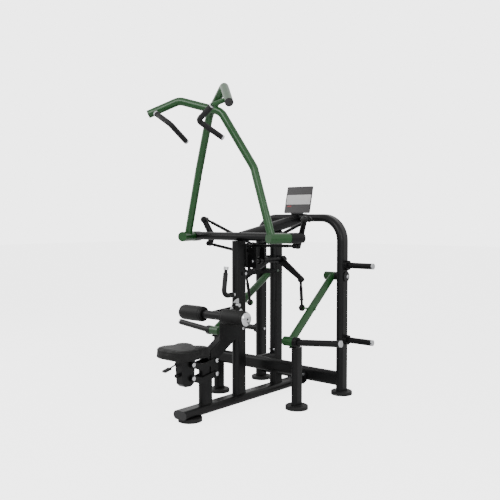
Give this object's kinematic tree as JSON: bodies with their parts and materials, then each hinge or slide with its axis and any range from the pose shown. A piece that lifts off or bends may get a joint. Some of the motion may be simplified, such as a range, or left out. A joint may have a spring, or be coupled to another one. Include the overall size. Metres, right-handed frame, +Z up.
{
  "type": "lat pulldown machine",
  "caption": "Plate-loaded lat pulldown machine: crossing handle arms drive rockers, tie rods and rear weight arms; adjustable seat and thigh rollers on a steel tube frame",
  "frame": {"origin": "centre of the front foot's sole, on the floor", "axes": "+X to the seated user's right, +Y from the seat back to the weight horns, +Z up"},
  "size_m": [1.565, 1.5575, 2.277],
  "materials": {
    "black_powder_coat": "satin black powder coat on steel tube",
    "green_paint": "gloss dark green metallic paint on steel tube",
    "rubber": "moulded black rubber",
    "vinyl": "black vinyl over foam",
    "chrome": "bright chrome plate",
    "plastic": "black moulded plug",
    "placard": "printed plate, bare of words"
  },
  "bodies": {
    "frame": {"foot_pads": "rubber", "base_tube": "black_powder_coat", "front_column": "black_powder_coat", "crossbar": "black_powder_coat", "boom": "black_powder_coat", "rear_column": "black_powder_coat", "hoop": "black_powder_coat", "rear_beam": "black_powder_coat", "front_beam": "black_powder_coat", "stop_posts": "black_powder_coat", "stop_rubbers": "rubber", "storage_horns": "black_powder_coat", "weight_axles": "black_powder_coat", "rocker_cradle": "black_powder_coat", "rocker_shafts": "black_powder_coat", "seat_post": "black_powder_coat", "seat_bracket": "black_powder_coat", "column_handle": "black_powder_coat", "column_handle_grip": "rubber", "roller_sector": "chrome", "placard_plate": "placard", "placard_bracket": "black_powder_coat", "tube_caps": "plastic", "frame_fittings": "chrome"},
    "right_handle_arm": {"handle_arm_right": "green_paint", "arm_plug_right": "plastic", "arm_lever_right": "black_powder_coat", "grip_right": "rubber", "grip_fittings_right": "chrome"},
    "right_drive_link": {"drive_link_right": "black_powder_coat"},
    "right_sync_link": {"sync_link_right": "black_powder_coat"},
    "right_rocker": {"rocker_right": "black_powder_coat"},
    "right_tie_rod": {"tie_rod_right": "black_powder_coat"},
    "right_weight_arm": {"weight_arm_right": "green_paint", "load_horn_right": "black_powder_coat", "weight_arm_fittings_right": "chrome"},
    "right_roller": {"thigh_roller_right": "vinyl"},
    "left_handle_arm": {"handle_arm_left": "green_paint", "arm_plug_left": "plastic", "arm_lever_left": "black_powder_coat", "grip_left": "rubber", "grip_fittings_left": "chrome"},
    "left_drive_link": {"drive_link_left": "black_powder_coat"},
    "left_sync_link": {"sync_link_left": "black_powder_coat"},
    "left_rocker": {"rocker_left": "black_powder_coat"},
    "left_tie_rod": {"tie_rod_left": "black_powder_coat"},
    "left_weight_arm": {"weight_arm_left": "green_paint", "load_horn_left": "black_powder_coat", "weight_arm_fittings_left": "chrome"},
    "left_roller": {"thigh_roller_left": "vinyl"},
    "sync_lever": {"sync_lever": "black_powder_coat"},
    "seat_link_upper": {"seat_link_upper": "black_powder_coat"},
    "seat_link_lower": {"seat_link_lower": "black_powder_coat"},
    "seat_carriage": {"seat_carriage": "black_powder_coat", "seat_pad": "vinyl", "seat_bolts": "chrome"},
    "seat_lever": {"seat_lever": "black_powder_coat"},
    "roller_arm": {"roller_arm": "black_powder_coat", "roller_caps": "chrome"},
    "pull_pin": {"pull_pin": "chrome"}
  },
  "joints": [
    {"name": "handle_arm_right", "type": "hinge", "parent": "frame", "child": "right_handle_arm", "pos_m": [0.412, 0.331, 1.236], "axis": [-0.2874, -0.9578, 0], "range_deg": [0, 42]},
    {"name": "handle_arm_left", "type": "hinge", "parent": "frame", "child": "left_handle_arm", "pos_m": [-0.412, 0.331, 1.236], "axis": [-0.2874, 0.9578, 0], "range_deg": [0, 42.01]},
    {"name": "rocker_right", "type": "hinge", "parent": "frame", "child": "right_rocker", "pos_m": [0.06, 0.8, 1.057], "axis": [0, -1, 0], "range_deg": [0, 44.56]},
    {"name": "drive_link_right", "type": "hinge", "parent": "right_handle_arm", "child": "right_drive_link", "pos_m": [0.49754, 0.68223, 1.364], "axis": [-0.0114, 0.9982, 0.0582], "range_deg": [0, 41.61]},
    {"name": "weight_arm_right", "type": "hinge", "parent": "frame", "child": "right_weight_arm", "pos_m": [0.327, 1.265, 0.923], "axis": [-1, 0, 0], "range_deg": [0, 29.68]},
    {"name": "tie_rod_right", "type": "hinge", "parent": "right_weight_arm", "child": "right_tie_rod", "pos_m": [0.256, 0.936, 0.697], "axis": [0.7144, 0.696, 0.0719], "range_deg": [0, 15.6]},
    {"name": "rocker_left", "type": "hinge", "parent": "frame", "child": "left_rocker", "pos_m": [-0.06, 0.8, 1.057], "axis": [0, 1, 0], "range_deg": [0, 45.8]},
    {"name": "drive_link_left", "type": "hinge", "parent": "left_handle_arm", "child": "left_drive_link", "pos_m": [-0.49754, 0.68223, 1.364], "axis": [0.0953, -0.9934, -0.0633], "range_deg": [0, 42.49]},
    {"name": "weight_arm_left", "type": "hinge", "parent": "frame", "child": "left_weight_arm", "pos_m": [-0.327, 1.265, 0.923], "axis": [-1, 0, 0], "range_deg": [0, 30.43]},
    {"name": "tie_rod_left", "type": "hinge", "parent": "left_weight_arm", "child": "left_tie_rod", "pos_m": [-0.256, 0.936, 0.697], "axis": [0.7416, -0.6676, -0.0661], "range_deg": [0, 15.89]},
    {"name": "sync_lever", "type": "hinge", "parent": "frame", "child": "sync_lever", "pos_m": [0, 0.646, 1.135], "axis": [0, 1, 0], "range_deg": [0, 78.18]},
    {"name": "sync_link_right", "type": "hinge", "parent": "right_handle_arm", "child": "right_sync_link", "pos_m": [0.41746, 0.62065, 1.178], "axis": [0.0211, 0.9982, 0.0567], "range_deg": [0, 45.43]},
    {"name": "sync_link_left", "type": "hinge", "parent": "left_handle_arm", "child": "left_sync_link", "pos_m": [-0.41746, 0.62065, 1.178], "axis": [0.019, -0.9996, -0.0185], "range_deg": [0, 45.01]},
    {"name": "seat_link_upper", "type": "hinge", "parent": "frame", "child": "seat_link_upper", "pos_m": [0, 0.214, 0.384], "axis": [-1, 0, 0], "range_deg": [-18, 18]},
    {"name": "seat_link_lower", "type": "hinge", "parent": "frame", "child": "seat_link_lower", "pos_m": [0, 0.214, 0.291], "axis": [-1, 0, 0], "range_deg": [-18.01, 18.01]},
    {"name": "seat_carriage", "type": "hinge", "parent": "seat_link_upper", "child": "seat_carriage", "pos_m": [0, -0.014, 0.39], "axis": [-1, 0, 0], "range_deg": [-18.01, 18.01]},
    {"name": "seat_lever", "type": "hinge", "parent": "seat_carriage", "child": "seat_lever", "pos_m": [-0.038, -0.088, 0.396], "axis": [1, 0, 0], "range_deg": [-12, 0]},
    {"name": "roller_arm", "type": "hinge", "parent": "frame", "child": "roller_arm", "pos_m": [0, 0.466, 0.705], "axis": [-1, 0, 0], "range_deg": [-8, 16]},
    {"name": "pull_pin", "type": "slide", "parent": "roller_arm", "child": "pull_pin", "axis": [1, 0, 0], "range_m": [-0.005, 0.007]},
    {"name": "thigh_roller_right", "type": "hinge", "parent": "roller_arm", "child": "right_roller", "pos_m": [0.195, 0.234, 0.693], "axis": [1, 0, 0], "continuous": true},
    {"name": "thigh_roller_left", "type": "hinge", "parent": "roller_arm", "child": "left_roller", "pos_m": [-0.195, 0.234, 0.693], "axis": [1, 0, 0], "continuous": true}
  ],
  "couplings": [
    {"joint": "handle_arm_left", "follows": "handle_arm_right", "ratio": 1},
    {"joint": "rocker_right", "follows": "handle_arm_right", "ratio": 1.0607},
    {"joint": "drive_link_right", "follows": "handle_arm_right", "ratio": 0.99045},
    {"joint": "weight_arm_right", "follows": "handle_arm_right", "ratio": 0.70654},
    {"joint": "tie_rod_right", "follows": "handle_arm_right", "ratio": 0.37118},
    {"joint": "rocker_left", "follows": "handle_arm_right", "ratio": 1.0903},
    {"joint": "drive_link_left", "follows": "handle_arm_right", "ratio": 1.0114},
    {"joint": "weight_arm_left", "follows": "handle_arm_right", "ratio": 0.72431},
    {"joint": "tie_rod_left", "follows": "handle_arm_right", "ratio": 0.3782},
    {"joint": "sync_lever", "follows": "handle_arm_right", "ratio": 1.8613},
    {"joint": "sync_link_right", "follows": "handle_arm_right", "ratio": 1.0815},
    {"joint": "sync_link_left", "follows": "handle_arm_right", "ratio": 1.0714},
    {"joint": "seat_link_lower", "follows": "seat_link_upper", "ratio": 1},
    {"joint": "seat_carriage", "follows": "seat_link_upper", "ratio": -1}
  ]
}
